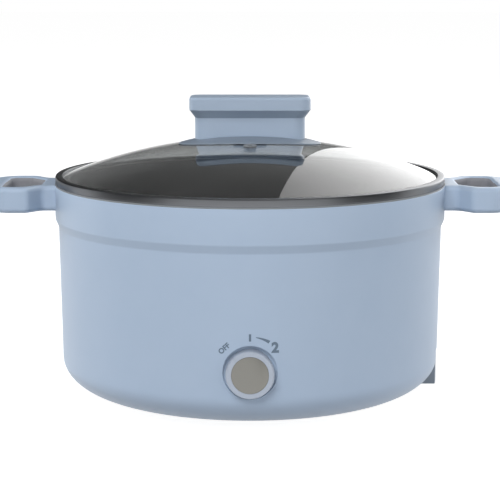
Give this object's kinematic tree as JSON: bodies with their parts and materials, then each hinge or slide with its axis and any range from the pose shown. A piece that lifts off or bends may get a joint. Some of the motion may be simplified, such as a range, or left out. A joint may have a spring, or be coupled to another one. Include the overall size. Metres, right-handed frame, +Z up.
{
  "type": "electric hot pot",
  "caption": "Countertop electric hot pot: round casing with fixed non-stick pan, two loop handles, front power dial, side mains inlet and lift-off domed glass lid with bar knob.",
  "frame": {"origin": "on the table under the middle of the pot", "axes": "+Z up, control knob faces -Y, handles point along +X and -X, mains inlet on the +X side"},
  "size_m": [0.41, 0.3026, 0.2296],
  "materials": {
    "shell_pp": "moulded polypropylene, soft grey-blue, fine satin",
    "handle_pp": "moulded polypropylene, soft grey-blue, fine satin",
    "silicone_dark": "dark silicone",
    "pan_nonstick": "die-cast aluminium with dark non-stick coating",
    "heater_sheath": "stainless element sheath",
    "steatite": "steatite bead",
    "galvanised": "galvanised sheet steel",
    "screw_steel": "zinc-plated steel screws",
    "phenolic": "moulded phenolic, dark brown-black",
    "brass_pins": "turned brass",
    "tinned_blades": "tinned brass blades",
    "fuse_case": "glazed ceramic fuse case",
    "knob_silver": "ABS with silver paint",
    "knob_disc": "spun aluminium disc",
    "cover_pp": "moulded polypropylene, fine texture",
    "foot_rubber": "moulded rubber",
    "wire_silicone": "silicone-insulated wire",
    "lid_glass": "tempered glass, lightly smoked",
    "ring_steel": "polished stainless rim",
    "knob_pp": "moulded polypropylene, soft grey-blue, fine satin"
  },
  "bodies": {
    "pot": {"outer_shell": "shell_pp", "handle_left": "handle_pp", "handle_right": "handle_pp", "handle_screws": "screw_steel", "rim_gasket": "silicone_dark", "inner_pot": "pan_nonstick", "heating_element": "heater_sheath", "terminal_beads": "steatite", "heat_shield": "galvanised", "pan_bracket": "galvanised", "pan_screws": "screw_steel", "bracket_screws": "screw_steel", "thermostat": "phenolic", "sensor_screws": "screw_steel", "thermal_fuse": "fuse_case", "fuse_clip": "galvanised", "rotary_switch": "phenolic", "switch_bushing": "brass_pins", "switch_terminals": "tinned_blades", "switch_screws": "screw_steel", "inlet_housing": "phenolic", "inlet_pins": "brass_pins", "inlet_screws": "screw_steel", "bottom_cover": "cover_pp", "cover_screws": "screw_steel", "rubber_feet": "foot_rubber", "live_wire": "wire_silicone", "heater_wire": "wire_silicone", "limiter_wire": "wire_silicone", "fuse_wire": "wire_silicone", "neutral_wire": "wire_silicone", "earth_wire": "wire_silicone"},
    "control_knob": {"knob_shaft": "brass_pins", "knob_body": "knob_silver", "knob_cap": "knob_disc"},
    "lid": {"lid_glass": "lid_glass", "lid_ring": "ring_steel", "lid_base": "knob_pp", "lid_grip": "knob_pp", "lid_screw": "screw_steel", "lid_washer": "galvanised", "lid_pad": "silicone_dark", "lid_gasket": "silicone_dark", "vent_eyelet": "silicone_dark"}
  },
  "joints": [
    {"name": "knob_turn", "type": "hinge", "parent": "pot", "child": "control_knob", "pos_m": [0, -0.1475, 0.0463], "axis": [0, 1, 0], "range_deg": [0, 90]},
    {"name": "lid_lift", "type": "slide", "parent": "pot", "child": "lid", "axis": [0, 0, 1], "range_m": [0, 0.08]}
  ]
}
